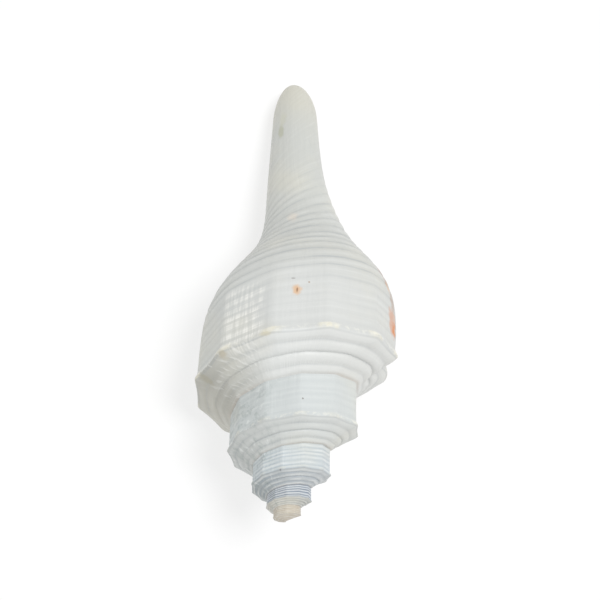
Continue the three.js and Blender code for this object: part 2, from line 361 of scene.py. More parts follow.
def whorlRows(turn, lastWhorl):
    # rows across the whorl: ramp, side, and on the last whorl the base and the canal
    flat = np.zeros_like(turn)
    spread = ornament["terraceSpread"]
    points, counts, heights = [], [], []
    for i in range(fineness["ramp"]):
        share = flat + (i / fineness["ramp"]) ** (1 / spread)
        points.append(place(turn, *rampPoint(turn, share)))
        counts.append(ornament["terraces"] * (share**spread - 1))
        heights.append(points[-1][:, 1])
    stops = [keelHeight(turn), sutureHeight(turn + 1), baseEnd(turn), flat + coil["length"]]
    steps = [fineness["side"], fineness["base"], fineness["canal"]]
    for zone in range(3 if lastWhorl else 1):
        closing = 1 if zone == (2 if lastWhorl else 0) else 0
        for i in range(steps[zone] + closing):
            share = i / steps[zone]
            if zone == 2:
                share = 1 - (1 - share) ** fineness["tipCrowding"]
            height = mix(stops[zone], stops[zone + 1], share)
            curled = turn + curl(height)
            points.append(place(curled, *flankPoint(curled, height)))
            counts.append(cordCount(curled, height))
            heights.append(height)
    return np.stack(points, 1), np.stack(counts, 1), np.stack(heights, 1)


def sheetCorners(points, maps):
    # two triangles between neighbouring rows and columns of a grid
    a = np.s_[:-1, :-1]
    b = np.s_[1:, :-1]
    c = np.s_[1:, 1:]
    d = np.s_[:-1, 1:]
    order = [a, b, c, a, c, d]
    corners = np.stack([points[s] for s in order], 2).reshape(-1, 3, 3)
    values = np.stack([maps[s] for s in order], 2).reshape(-1, 3, maps.shape[-1])
    return corners, values


def whorlSheet(turns, lastWhorl):
    # the whorl's surface with its maps: turn, height, cord count, and 0 for the outside
    points, counts, heights = whorlRows(turns, lastWhorl)
    turn = turns[:, None] + curl(heights)
    maps = np.stack([turn, heights, counts, 0 * counts], -1)
    return sheetCorners(points, maps)


def lipFace():
    # the flat end of the last whorl, between its outer rows and the whorl before
    outer = whorlRows(np.array([coil["lipTurn"]]), True)
    inner = whorlRows(np.array([coil["lipTurn"] - 1]), True)
    start = fineness["ramp"] + fineness["side"] + 1
    points = np.concatenate([outer[0][0], inner[0][0][start:-1][::-1]])
    heights = np.concatenate([outer[2][0], inner[2][0][start:-1][::-1]])
    offset = offsetAt(heights)
    lean = math.radians(coil["leanAngle"])
    radius = np.hypot(points[:, 0] - offset * math.sin(lean), points[:, 2] - offset * math.cos(lean))
    flat = [Vector((r, h, 0.0)) for r, h in zip(radius, heights)]
    faces = np.array(geometry.tessellate_polygon([flat]))
    a, b, c = (np.stack([radius, heights], -1)[faces[:, i]] for i in range(3))
    ab, ac = b - a, c - a
    leftHanded = ab[:, 0] * ac[:, 1] - ab[:, 1] * ac[:, 0] > 0
    faces[leftHanded] = faces[leftHanded][:, ::-1]
    maps = np.stack([0 * heights + coil["lipTurn"], heights, 0 * heights, 0 * heights + 0.5], -1)
    return points[faces], maps[faces]


def hollowOuter(turn, height):
    # one wall inside the flank and inside the ramp, whichever is nearer to the axis
    inside = smooth((coil["lipTurn"] - turn) / opening["lipThinning"])
    wall = mix(opening["lipWall"], opening["wall"], inside)
    keel, suture = keelHeight(turn), sutureHeight(turn)
    start = rampPoint(turn, 0 * turn)[0]
    slope = (keelRadius(turn) - start) / (keel - suture)
    underRamp = start + slope * (height - suture) - wall * np.hypot(1, slope)
    underFlank = flankPoint(turn + curl(height), np.maximum(height, keel))[0] - wall
    return np.minimum(underFlank, underRamp)


def hollowInner(turn, height):
    # the whorl before with a thin callus, drawn in to the columella towards the canal
    radius, waist, start, span = opening["columella"]
    reach, clearance = opening["innerLip"]
    before = flankPoint(turn - 1 + curl(height), height)[0]
    drawnIn = waist * smooth((height - sutureHeight(turn) - start) / span)
    inside = np.maximum(before * (1 - drawnIn), radius) + opening["callus"]
    beyondLip = np.clip((turn - coil["lipTurn"]) / reach, 0, 1)
    return mix(inside, before + clearance, beyondLip**1.5)


def swing(around):
    # from one side of a closed section to the other, blunt at its two ends
    side = np.where(around < 1, np.sin(2 * np.pi * around), 0)
    return np.sign(side) * np.abs(side) ** opening["bluntness"]


def hollowBag():
    # a closed bag swept along the coil inside the last whorl and out beyond the lip
    steps, sides = fineness["hollow"]
    deep = coil["lipTurn"] - opening["depth"]
    end = coil["lipTurn"] + opening["innerLip"][0] + 0.04
    turn = np.linspace(deep, end, steps + 1)[::-1, None] + np.zeros(sides + 1)
    around = np.linspace(0, 1, sides + 1) + 0 * turn
    whorl = np.minimum(turn, coil["lipTurn"])
    closing = np.sqrt(np.clip(np.minimum((turn - deep) / opening["closing"], (end - turn) / 0.02), 0, 1))
    low = sutureHeight(whorl) + 2 * opening["wall"]
    high = mix(sutureHeight(whorl + 1), baseEnd(whorl), opening["reach"])
    height = mix(high, low, 0.5 + 0.5 * closing * np.cos(2 * np.pi * around))
    outer, inner = hollowOuter(whorl, height), hollowInner(turn, height)
    radius = (outer + inner) / 2 - closing * swing(around) * (outer - inner) / 2
    curled = turn + curl(height)
    points = place(curled, radius, height, offsetAt(height))
    maps = np.stack([curled, height, around, 0 * turn + 1], -1)
    return sheetCorners(points, maps)


def canalTrough():
    # a long closed trough with a round floor, deepest in the middle of its length
    steps, sides = fineness["trough"]
    start, middle, stop = opening["troughFrom"], opening["troughMiddle"], opening["troughTo"]
    height = np.linspace(start, stop, steps + 1)[::-1, None] + np.zeros(sides + 1)
    around = np.linspace(0, 1, sides + 1) + 0 * height
    isOpen = ((height > start) & (height < stop)) * 1.0
    angle = 2 * np.pi * (coil["lipTurn"] + curl(height) + opening["troughTurn"])
    floorDepth, rise = opening["troughFloor"]
    floor = floorDepth + rise * ((height - middle) / (coil["length"] - middle)) ** 2
    depth = mix(floor, opening["troughMouth"], 0.5 - 0.5 * isOpen * np.cos(2 * np.pi * around))
    outwards = np.stack([np.sin(angle), 0 * angle, np.cos(angle)], -1)
    across = np.stack([outwards[..., 2], 0 * angle, -outwards[..., 0]], -1)
    points = place(0 * height, 0 * height, height, offsetAt(height)) + outwards * depth[..., None]
    points = points - across * (isOpen * swing(around) * opening["troughWidth"] / 2)[..., None]
    maps = np.stack([0 * height + coil["lipTurn"], height, around, 0 * height + 0.5], -1)
    return sheetCorners(points, maps)


def weldedMesh(name, sheets):
    # corners in one place share a vertex, and triangles with two corners in one place are dropped
    corners = np.concatenate([s[0] for s in sheets])
    values = np.concatenate([s[1] for s in sheets])
    keys = np.round(corners.reshape(-1, 3), 5)
    shared, index = np.unique(keys, axis=0, return_inverse=True)
    triangles = index.reshape(-1, 3)
    kept = (triangles != np.roll(triangles, -1, axis=1)).all(axis=1)
    triangles, values = triangles[kept], values[kept]
    used, first = np.unique(index, return_index=True)
    places = corners.reshape(-1, 3)[first]
    mesh = bpy.data.meshes.new(name)
    mesh.vertices.add(len(places))
    mesh.vertices.foreach_set("co", (places * 0.001).astype(np.float32).ravel())
    mesh.loops.add(triangles.size)
    mesh.loops.foreach_set("vertex_index", triangles.ravel().astype(np.int32))
    mesh.polygons.add(len(triangles))
    mesh.polygons.foreach_set("loop_start", np.arange(0, triangles.size, 3, dtype=np.int32))
    mesh.update(calc_edges=True)
    for layer, columns in (("coil", [0, 1]), ("cords", [2, 3])):
        uv = mesh.uv_layers.new(name=layer)
        uv.uv.foreach_set("vector", values[:, :, columns].astype(np.float32).ravel())
    a, b, c = (places[triangles[:, i]] for i in range(3))
    volume = np.einsum("ij,ij->", a, np.cross(b, c)) / 6
    print(name, len(places), "vertices", len(triangles), "triangles", round(volume / 1000, 2), "cm3")
    made = bpy.data.objects.new(name, mesh)
    bpy.context.scene.collection.objects.link(made)
    return made


def carved(body, cutters):
    # the body with the cutters taken away, as one finished mesh
    for cutter in cutters:
        cut = body.modifiers.new(cutter.name, "BOOLEAN")
        cut.operation = "DIFFERENCE"
        cut.solver = "EXACT"
        cut.object = cutter
    bpy.context.view_layer.update()
    done = bpy.data.meshes.new_from_object(body.evaluated_get(bpy.context.evaluated_depsgraph_get()))
    body.modifiers.clear()
    body.data = done
    for cutter in cutters:
        bpy.data.objects.remove(cutter)
    return body


def readVertices(mesh):
    # places of all vertices, one row each
    places = np.zeros(len(mesh.vertices) * 3, np.float32)
    mesh.vertices.foreach_get("co", places)
    return places.reshape(-1, 3).astype(float)


def roundCutEdge(mesh):
    # vertices near the line between outside and cut faces move to the mean of their neighbours
    edges = np.zeros(len(mesh.edges) * 2, np.int32)
    mesh.edges.foreach_get("vertices", edges)
    edges = edges.reshape(-1, 2)
    corner = np.zeros(len(mesh.loops), np.int32)
    mesh.loops.foreach_get("vertex_index", corner)
    flags = np.zeros(len(mesh.loops) * 2, np.float32)
    mesh.uv_layers["cords"].uv.foreach_get("vector", flags)
    inside = flags[1::2] > 0.25
    count = len(mesh.vertices)
    both = (np.bincount(corner, inside, count) > 0) & (np.bincount(corner, ~inside, count) > 0)
    places = readVertices(mesh)
    near = both * 1.0
    for _ in range(4):
        length = np.linalg.norm(places[edges[:, 0]] - places[edges[:, 1]], axis=1) * 1000
        loss = length / opening["edgeRounding"]
        spread = near.copy()
        np.maximum.at(spread, edges[:, 0], near[edges[:, 1]] - loss)
        np.maximum.at(spread, edges[:, 1], near[edges[:, 0]] - loss)
        near = spread
    weight = smooth(near)[:, None] * 0.5
    degree = np.bincount(edges.ravel(), minlength=count)[:, None]
    start, end = edges[:, 0], edges[:, 1]
    for _ in range(opening["roundingPasses"]):
        total = np.zeros_like(places)
        for k in range(3):
            fromEnds = np.bincount(start, places[end, k], count)
            total[:, k] = fromEnds + np.bincount(end, places[start, k], count)
        places = places + weight * (total / np.maximum(degree, 1) - places)
    mesh.vertices.foreach_set("co", places.astype(np.float32).ravel())
    mesh.update()


def restMatrix():
    # rolled about its axis, then pitched, as in the part's source
    roll = Matrix.Rotation(-math.radians(rest["roll"]), 4, "Y")
    pitch = Matrix.Rotation(-math.radians(rest["pitch"]), 4, "X")
    return pitch @ roll


def layDown(mesh):
    # turned to its rest pose, centred over the origin and lowered onto the floor
    mesh.transform(restMatrix())
    places = readVertices(mesh)
    low, high = places.min(0), places.max(0)
    shift = Vector((-(low[0] + high[0]) / 2, -(low[1] + high[1]) / 2, -low[2]))
    mesh.transform(Matrix.Translation(shift))
    return shift


perTurn = fineness["perTurn"]
lastTurns = coil["lipTurn"] - np.arange(perTurn, -1, -1) / perTurn
spireSteps = math.ceil((coil["lipTurn"] - 1 - coil["firstTurn"]) * perTurn)
spireTurns = coil["lipTurn"] - (np.arange(spireSteps, -1, -1) + perTurn) / perTurn
shell = weldedMesh("conch_shell", [whorlSheet(spireTurns, False), whorlSheet(lastTurns, True), lipFace()])
hollow = weldedMesh("hollow", [hollowBag()])
trough = weldedMesh("trough", [canalTrough()])
carved(shell, [hollow, trough])
roundCutEdge(shell.data)
shift = layDown(shell.data)
shell.data.polygons.foreach_set("use_smooth", np.ones(len(shell.data.polygons), bool))
shell.data.set_sharp_from_angle(angle=math.radians(60))
print("shell carved", len(shell.data.vertices), "vertices", len(shell.data.polygons), "faces")

# Colours and gloss of the shell. Tones are sRGB from 0 to 255, spans are mm above the apex.
shellLook = {
    "sideTones": [  # colour of the flat side by turn
        (-4.6, (206, 193, 173)),
        (-3.85, (206, 193, 173)),
        (-3.5, (190, 193, 196)),
        (-2.75, (196, 205, 213)),
        (-2.3, (210, 219, 222)),
        (-1.6, (207, 215, 219)),
        (-1.2, (207, 214, 213)),
        (-0.95, (217, 222, 222)),
        (-0.4, (211, 214, 208)),
        (-0.15, (213, 216, 212)),
        (0.0, (223, 225, 223)),
        (0.4, (209, 210, 206)),
    ],
    "rampTones": [  # colour of the ramp by turn
        (-4.6, (206, 194, 174)),
        (-3.7, (206, 194, 176)),
        (-3.1, (206, 204, 194)),
        # painted shade: darker on the left of the second small whorl's ramp
        (-2.25, (154, 162, 163)),
        (-1.95, (188, 194, 198)),
        (-1.25, (198, 201, 198)),
        (-0.9, (220, 223, 221)),
        (-0.32, (204, 202, 190)),
        # painted shade: these two darker tones lie on the left of the last ramp, by the nodules
        (-0.17, (184, 183, 174)),
        (-0.1, (204, 205, 199)),
        (-0.02, (234, 236, 234)),
        (0.15, (228, 229, 226)),
        (0.4, (222, 223, 219)),
    ],
    # painted shade: a darker grey over the base and a slightly darker one over the canal
    "baseTone": (203, 205, 200),
    "baseSpan": (56.0, 74.0),
    "canalTone": (215, 217, 212),
    "canalSpan": (84.0, 106.0),
    "tipTone": (222, 219, 203),
    "tipSpan": (128.0, 158.0),
    "zoneShare": 0.8,  # how far the tones of base, canal and tip cover the one below
    "creamTone": (232, 228, 210),
    "cloudsPerMetre": 55.0,
    "growthNoise": (150.0, 0.05),  # for each turn, for each mm of height
    "growthTone": (206, 210, 208),
    "threadNoise": (4.0, 3.2),  # for each turn, for each cord
    "threadTone": (238, 240, 238),
    "lineShare": 0.14,  # of the growth lines and of the spiral threads
    "speckTone": (120, 104, 92),
    "specksPerMetre": 150.0,
    "brightness": 0.875,
    "roughness": 0.42,
    "bumpStrength": 0.6,
    "bumpDistance": 0.00025,
}


def linear(tone, brightness=1.0):
    # sRGB 0 to 255 to linear light
    c = [v / 255 for v in tone]
    flat = [v / 12.92 if v <= 0.04045 else ((v + 0.055) / 1.055) ** 2.4 for v in c]
    return tuple(v * brightness for v in flat) + (1.0,)


def shaded(tone):
    return linear(tone, shellLook["brightness"])


# The shell's material. The functions from here to shadeShell add nodes to its tree.
shellMaterial = bpy.data.materials.new("shell")
shellMaterial.use_nodes = True
tree = shellMaterial.node_tree


def feed(node, values):
    # links an input, given by name or number, to another node's output, or sets a plain value
    for key, value in values.items():
        if isinstance(value, bpy.types.NodeSocket):
            tree.links.new(value, node.inputs[key])
        else:
            node.inputs[key].default_value = value


def calc(operation, a, b=0.0):
    node = tree.nodes.new("ShaderNodeMath")
    node.operation = operation
    feed(node, {0: a, 1: b})
    return node.outputs[0]


def times(product, *others):
    for other in others:
        product = calc("MULTIPLY", product, other)
    return product


def plus(total, *others):
    for other in others:
        total = calc("ADD", total, other)
    return total


def minus(a, b):
    return calc("SUBTRACT", a, b)


def smoothRange(value, low, high, toLow=0.0, toHigh=1.0):
    # toLow at low and toHigh at high with a smooth step between
    node = tree.nodes.new("ShaderNodeMapRange")
    node.interpolation_type = "SMOOTHSTEP"
    feed(node, {"Value": value, "From Min": low, "From Max": high, "To Min": toLow, "To Max": toHigh})
    return node.outputs["Result"]


def near(value, middle, full, gone):
    # 1 within full of the middle, and 0 beyond gone
    away = calc("ABSOLUTE", minus(value, middle))
    return smoothRange(away, full, gone, 1.0, 0.0)


def mixNode(kind, share, a, b):
    node = tree.nodes.new("ShaderNodeMix")
    node.data_type = kind
    feed(node, {"Factor": share, "A": a, "B": b})
    return node.outputs["Result"]


def blend(share, a, b):
    return mixNode("RGBA", share, a, b)


def blendValue(share, a, b):
    return mixNode("FLOAT", share, a, b)


def noise(vector, scale, detail=2.0, roughness=0.5):
    node = tree.nodes.new("ShaderNodeTexNoise")
    feed(node, {"Vector": vector, "Scale": scale, "Detail": detail, "Roughness": roughness})
    return node.outputs["Fac"]


def coilNoise(x, y, z, detail, roughness=0.5):
    # noise over values of the coil, so that it is stretched along the turn or along the height
    node = tree.nodes.new("ShaderNodeCombineXYZ")
    feed(node, {"X": x, "Y": y, "Z": z})
    return noise(node.outputs[0], 1.0, detail, roughness)


def toneByTurn(turn, tones):
    # a colour ramp over the turns of the shell
    first, last = tones[0][0], tones[-1][0]
    spread = tree.nodes.new("ShaderNodeMapRange")
    feed(spread, {"Value": turn, "From Min": first, "From Max": last})
    ramp = tree.nodes.new("ShaderNodeValToRGB")
    feed(ramp, {"Fac": spread.outputs["Result"]})
    elements = ramp.color_ramp.elements
    for i, (turnHere, tone) in enumerate(tones):
        at = (turnHere - first) / (last - first)
        stop = elements[i] if i < 2 else elements.new(at)
        stop.position = min(max(at, 0), 1)
        stop.color = shaded(tone)
    return ramp.outputs["Color"]


def uvParts(name):
    source = tree.nodes.new("ShaderNodeUVMap")
    source.uv_map = name
    parts = tree.nodes.new("ShaderNodeSeparateXYZ")
    feed(parts, {0: source.outputs["UV"]})
    return parts.outputs["X"], parts.outputs["Y"]


def betweenGrooves(count):
    # |sin| of the cord count, shifted and uneven as the modelled cords are: 0 in a groove, 1 on a crest
    shift, start, span = ornament["cordShift"]
    waver, perCord = ornament["cordWaver"]
    shifted = minus(count, smoothRange(count, start, start + span, 0.0, shift))
    wavering = times(calc("SINE", times(count, perCord)), waver)
    isCord = smoothRange(count, 0.2, 0.4)
    uneven = blendValue(isCord, count, plus(shifted, wavering))
    return calc("ABSOLUTE", calc("SINE", times(uneven, math.pi)))


def surfacePlace():
    # what each point knows: its place on the coil and on the object, and the noises that marks share
    at = SimpleNamespace()
    at.turn, at.height = uvParts("coil")
    at.count, at.cut = uvParts("cords")
    at.object = tree.nodes.new("ShaderNodeTexCoord").outputs["Object"]
    at.onSide = smoothRange(at.count, -0.08, 0.08)
    at.onRamp = minus(1.0, at.onSide)
    at.onOutside = smoothRange(at.cut, 0.1, 0.3, 1.0, 0.0)
    at.clouds = noise(at.object, shellLook["cloudsPerMetre"], 3.0)
    turn, height, count = at.turn, at.height, at.count
    perTurn, perMm = shellLook["growthNoise"]
    at.growth = coilNoise(times(turn, perTurn), times(height, perMm), 0.0, 4.0, 0.6)
    perTurn, perCord = shellLook["threadNoise"]
    at.threads = coilNoise(times(turn, perTurn), times(count, perCord), 0.0, 3.0, 0.6)
    at.between = betweenGrooves(count)
    return at


def groundTone(at):
    # side and ramp by turn, then painted shade over base and canal by height, under broad clouds of cream
    sideTone = toneByTurn(at.turn, shellLook["sideTones"])
    rampTone = toneByTurn(at.turn, shellLook["rampTones"])
    tone = blend(at.onSide, rampTone, sideTone)
    tone = zoneTone(at, tone, "base")
    tone = zoneTone(at, tone, "canal")
    warm = smoothRange(at.clouds, 0.45, 0.75, 0.0, 0.35)
    return blend(warm, tone, shaded(shellLook["creamTone"]))


def zoneTone(at, tone, zone):
    # a tone over a span of heights: painted shade for base and canal, a cream of its own for the tip
    low, high = shellLook[zone + "Span"]
    share = smoothRange(at.height, low, high, 0.0, shellLook["zoneShare"])
    return blend(share, tone, shaded(shellLook[zone + "Tone"]))


# Nodules, dashes and a painted shadow line at the keel, and the suture. Places are cords from the keel
# (below 0 on the ramp): middle, full within, gone beyond.
keelLook = {
    "nodules": (0.18, 0.18, 0.46),
    "noduleShares": (0.3, 0.85),  # on the small whorls and on the last
    "chipsPerMetre": 480.0,
    "dashes": (0.22, 0.12, 0.36),
    "dashTone": (238, 237, 227),
    "dashesPerTurn": 120.0,
    "dashShare": 0.42,
    # painted shadow under the overhang of the keel: place, grey and strength of a thin line
    "line": (-0.16, 0.02, 0.12),
    "keelShadowTone": (176, 181, 182),
    "lineShare": 0.45,
    "suture": (-4.0, -3.3),
    "sutureTone": (217, 207, 196),
    "sutureShare": 0.75,
}


def noduleTone(at, tone):
    # cream where the cosine of the nodule count is high, with edges moved by the clouds and chipped by noise
    phase, perTurn, crowding = ornament["nodules"]
    turn = at.turn
    nodules = plus(times(turn, perTurn), phase, times(turn, turn, crowding))
    wave = calc("COSINE", times(nodules, 2 * math.pi))
    swell = smoothRange(plus(wave, times(at.clouds, 0.8)), 0.5, 1.1)
    chips = smoothRange(noise(at.object, keelLook["chipsPerMetre"], 3.0), 0.35, 0.6, 0.35, 1.0)
    byTurn = smoothRange(turn, -1.0, -0.4, *keelLook["noduleShares"])
    share = times(swell, near(at.count, *keelLook["nodules"]), chips, byTurn)
    return blend(share, tone, linear(shellLook["creamTone"]))


def keelTone(at, tone):
    # pale dashes along the keel, the pinkish suture, and a thin grey line of painted shadow under the keel
    turn, count = at.turn, at.count
    dashNoise = coilNoise(times(turn, keelLook["dashesPerTurn"]), times(count, 2.0), 4.0, 2.0)
    dashes = smoothRange(dashNoise, 0.46, 0.62, 0.0, keelLook["dashShare"])
    bigWhorls = smoothRange(turn, -1.8, -1.4)
    share = times(dashes, near(count, *keelLook["dashes"]), bigWhorls)
    tone = blend(share, tone, linear(keelLook["dashTone"]))

    low, high = keelLook["suture"]
    share = smoothRange(count, low, high, keelLook["sutureShare"], 0.0)
    share = times(share, smoothRange(at.clouds, 0.3, 0.6, 0.2, 0.8), at.onRamp)
    tone = blend(share, tone, shaded(keelLook["sutureTone"]))

    # painted shadow: the grey line just under the keel
    share = times(near(count, *keelLook["line"]), keelLook["lineShare"])
    share = times(share, smoothRange(at.clouds, 0.3, 0.6, 0.4, 1.0))
    return blend(share, tone, shaded(keelLook["keelShadowTone"]))


def growthTone(at, tone):
    # growth lines a little darker and spiral threads a little lighter
    share = smoothRange(at.growth, 0.4, 0.8, 0.0, shellLook["lineShare"])
    tone = blend(share, tone, shaded(shellLook["growthTone"]))
    share = smoothRange(at.threads, 0.5, 0.75, 0.0, shellLook["lineShare"])
    return blend(share, tone, linear(shellLook["threadTone"]))


# Painted shade in the grooves and painted highlight on the crests of the cords and terraces, over blue-grey
# stripes of the shell's own on the third small whorl. Shares are on the small whorls, then on the last.
grooveLook = {
    # painted shade in the grooves: grey on the last whorl, bluish grey on the small whorls
    "tone": (176, 180, 180),
    "blueTone": (168, 184, 200),
    "stripeTone": (128, 140, 160),
    "crestHighlightTone": (240, 242, 240),
    "stripesFrom": (-3.8, -3.5),  # turns over which the third small whorl's stripes come and go
    "stripesTo": (-2.75, -2.2),
    "stripeShare": 0.4,
    "sideShares": (0.5, 0.09),
    "rampShares": (0.5, 0.24),
    # the painted groove shade on the base is faint on the left of the back and strong on its lit right
    "baseShares": (0.075, 0.5),  # at the left and at the right of the back
    "crestHighlightShares": (0.4, 0.1, 0.2),  # small whorls, last flank, base
    "canalFade": (88.0, 122.0),  # mm above the apex
}


def grooveTone(at, tone):
    # grooves are darkened with painted shade in thin lines, bluer on the small whorls and broken up by
    # noise, and the third small whorl has wide blue-grey stripes of its own; crests are lightened with a
    # painted highlight
    turn, count, between = at.turn, at.count, at.between
    stripes = smoothRange(turn, *grooveLook["stripesFrom"])
    stripes = times(stripes, smoothRange(turn, *grooveLook["stripesTo"], 1.0, 0.0))
    onStripes = times(stripes, at.onSide)
    thin = smoothRange(between, 0.0, 0.5, 1.0, 0.0)
    wide = smoothRange(between, 0.3, 0.85, 1.0, 0.0)
    at.groove = blendValue(onStripes, thin, wide)
    brokenNoise = coilNoise(times(turn, 9.0), times(count, 0.7), 0.0, 3.0, 0.6)
    broken = smoothRange(brokenNoise, 0.36, 0.62, 0.2, 1.0)
    broken = calc("MAXIMUM", broken, times(onStripes, 0.8))
    lasting = times(smoothRange(at.height, *grooveLook["canalFade"], 1.0, 0.05), broken)

    bluish = smoothRange(turn, -2.2, -1.2, 1.0, 0.25)
    bluish = times(bluish, smoothRange(turn, -3.9, -3.6))
    dark = blend(bluish, shaded(grooveLook["tone"]), shaded(grooveLook["blueTone"]))
    dark = blend(onStripes, dark, shaded(grooveLook["stripeTone"]))

    onBase = smoothRange(count, 5.0, 8.0)
    sideShare = smoothRange(turn, -2.2, -1.1, *grooveLook["sideShares"])
    sideShare = plus(sideShare, times(stripes, grooveLook["stripeShare"]))
    baseShare = smoothRange(turn, -0.35, 0.02, *grooveLook["baseShares"])
    rampShare = smoothRange(turn, -1.4, -0.5, *grooveLook["rampShares"])
    rampShare = times(rampShare, smoothRange(turn, -4.0, -3.5))
    share = blendValue(at.onSide, rampShare, blendValue(onBase, sideShare, baseShare))
    share = times(at.groove, share, lasting, at.onOutside)
    tone = blend(share, tone, dark)

    # painted highlight along the crests
    small, flank, base = grooveLook["crestHighlightShares"]
    share = blendValue(smoothRange(turn, -1.9, -0.9), small, blendValue(onBase, flank, base))
    share = times(share, smoothRange(between, 0.6, 1.0), lasting)
    return blend(share, tone, linear(grooveLook["crestHighlightTone"]))


# Slanted growth folds on the left of the last ramp. Turns: middle, full within, gone beyond.
foldLook = {
    "turn": (-0.115, 0.04, 0.1),
    "perTurn": 150.0,
    "slant": 2.4,
    "tone": (244, 245, 241),
    "share": 0.34,
}


def foldTone(at, tone):
    # folds are noise along the turn, slanted by the cord count
    turn, count = at.turn, at.count
    slanted = plus(times(turn, foldLook["perTurn"]), times(count, foldLook["slant"]))
    folds = smoothRange(coilNoise(slanted, times(count, 0.9), 7.0, 2.0), 0.53, 0.68)
    zone = times(near(turn, *foldLook["turn"]), at.onRamp)
    at.folds = times(folds, zone, smoothRange(at.clouds, 0.35, 0.55, 0.3, 1.0))
    return blend(times(at.folds, foldLook["share"]), tone, linear(foldLook["tone"]))


# Dark blotches and pale painted highlights on the left of the small whorls
blotchAndHighlightLook = {
    "turn": -0.19,  # the middle of the left, on every whorl
    "perTurn": 60.0,
    "perMm": 0.55,
    "darkTone": (160, 172, 168),
    "darkShare": 0.45,
    "highlightTone": (242, 246, 244),
    "highlightShare": 0.4,
}


def blotchAndHighlightTone(at, tone):
    # dark blotches from the high parts and pale painted highlights from the low parts of one noise, kept to
    # the left by a cosine of the turn
    turn = at.turn
    across, along = times(turn, blotchAndHighlightLook["perTurn"]), times(at.height, blotchAndHighlightLook["perMm"])
    blotchAndHighlightNoise = coilNoise(across, along, 1.5, 4.0, 0.65)
    leftward = calc("COSINE", times(minus(turn, blotchAndHighlightLook["turn"]), 2 * math.pi))
    smallWhorls = smoothRange(turn, -0.95, -0.75, 1.0, 0.0)
    zone = times(smoothRange(leftward, 0.35, 0.9), smallWhorls)
    dark = times(smoothRange(blotchAndHighlightNoise, 0.5, 0.66, 0.0, blotchAndHighlightLook["darkShare"]), zone)
    tone = blend(dark, tone, shaded(blotchAndHighlightLook["darkTone"]))
    # pale painted highlights
    pale = times(smoothRange(blotchAndHighlightNoise, 0.32, 0.42, blotchAndHighlightLook["highlightShare"], 0.0), zone)
    return blend(pale, tone, linear(blotchAndHighlightLook["highlightTone"]))


# Patch of bright crossed lines on the left of the back. Its turn and height (mm) are middle, full
# within, gone beyond.
crossedLook = {
    "turn": (-0.074, 0.027, 0.044),
    "height": (47.5, 7.5, 12.0),
    "linesPerTurn": 230.0,
    "tone": (250, 249, 243),
    "shares": (0.42, 0.22, 0.15),  # blocks where rows and lines cross, rows, lines
}


def crossedTone(at, tone):
    # rows lie on the crests of the cords, and axial lines cut them into blocks
    across = times(at.turn, crossedLook["linesPerTurn"])
    lines = smoothRange(coilNoise(across, times(at.height, 0.12), 3.0, 1.0), 0.44, 0.6)
    uneven = smoothRange(at.threads, 0.35, 0.6, 0.35, 1.0)
    rows = times(smoothRange(at.between, 0.4, 0.85), uneven)
    blockShare, rowShare, lineShare = crossedLook["shares"]
    bright = plus(times(rows, lines, blockShare), times(rows, rowShare), times(lines, lineShare))
    patch = times(near(at.turn, *crossedLook["turn"]), near(at.height, *crossedLook["height"]))
    at.crossed = times(patch, bright)
    return blend(at.crossed, tone, linear(crossedLook["tone"]))


# Stains, pits, scars and painted shade under the nodules: turn and height (mm), half sizes along them (mm),
# tone, strength
marks = [
    ((0.0135, 54.6), (1.5, 2.1), (222, 176, 128), 0.75),  # spot on the back
    ((0.0145, 54.4), (0.3, 0.9), (120, 76, 50), 0.7),
    ((0.0073, 58.1), (0.6, 0.2), (130, 122, 118), 0.6),
    ((0.0322, 57.0), (0.35, 0.3), (160, 126, 96), 0.7),
    ((-0.02, 90.8), (3.4, 3.0), (230, 216, 198), 0.4),
    ((-0.086, 132.3), (4.5, 3.4), (176, 178, 154), 0.65),  # left of the canal
    ((-0.074, 138.3), (6.0, 4.0), (200, 200, 180), 0.45),
    ((0.214, 57.5), (3.0, 5.4), (208, 162, 136), 0.85),  # right of the back
    ((0.221, 55.6), (1.6, 3.2), (212, 128, 62), 0.85),
    ((0.204, 68.5), (1.6, 2.8), (220, 168, 120), 0.7),
    ((0.190, 80.0), (3.2, 5.5), (172, 148, 134), 0.6),
    ((0.196, 73.0), (3.2, 5.0), (168, 140, 124), 0.6),
    ((0.218, 64.5), (2.6, 4.0), (176, 150, 132), 0.6),
    # painted shade: three brownish smudges under the nodules on the left of the last ramp
    ((-0.178, 36.0), (1.6, 1.7), (166, 162, 144), 0.6),  # under the nodules
    ((-0.109, 38.2), (1.8, 0.9), (184, 174, 150), 0.6),
    ((-0.03, 40.6), (1.8, 0.5), (208, 200, 172), 0.5),
    ((-0.96, 27.2), (0.3, 0.3), (110, 102, 94), 0.8),  # pits on the spire
    ((-2.02, 10.2), (0.3, 0.25), (100, 100, 106), 0.7),
]


def markMask(at, wobble, middle, size, strength):
    # the strength inside an ellipse with an uneven soft edge, 0 outside
    turnAt, heightAt = middle
    alongTurn, alongHeight = size
    perTurn = 2 * math.pi * coil["keelRadius"] * math.exp(coil["radiusGrowth"][0] * turnAt)
    x = times(minus(at.turn, turnAt), perTurn / alongTurn)
    y = times(minus(at.height, heightAt), 1 / alongHeight)
    away = calc("SQRT", plus(times(x, x), times(y, y)))
    away = plus(away, times(minus(wobble, 0.5), 1.6))
    return smoothRange(away, 0.35, 1.15, strength, 0.0)


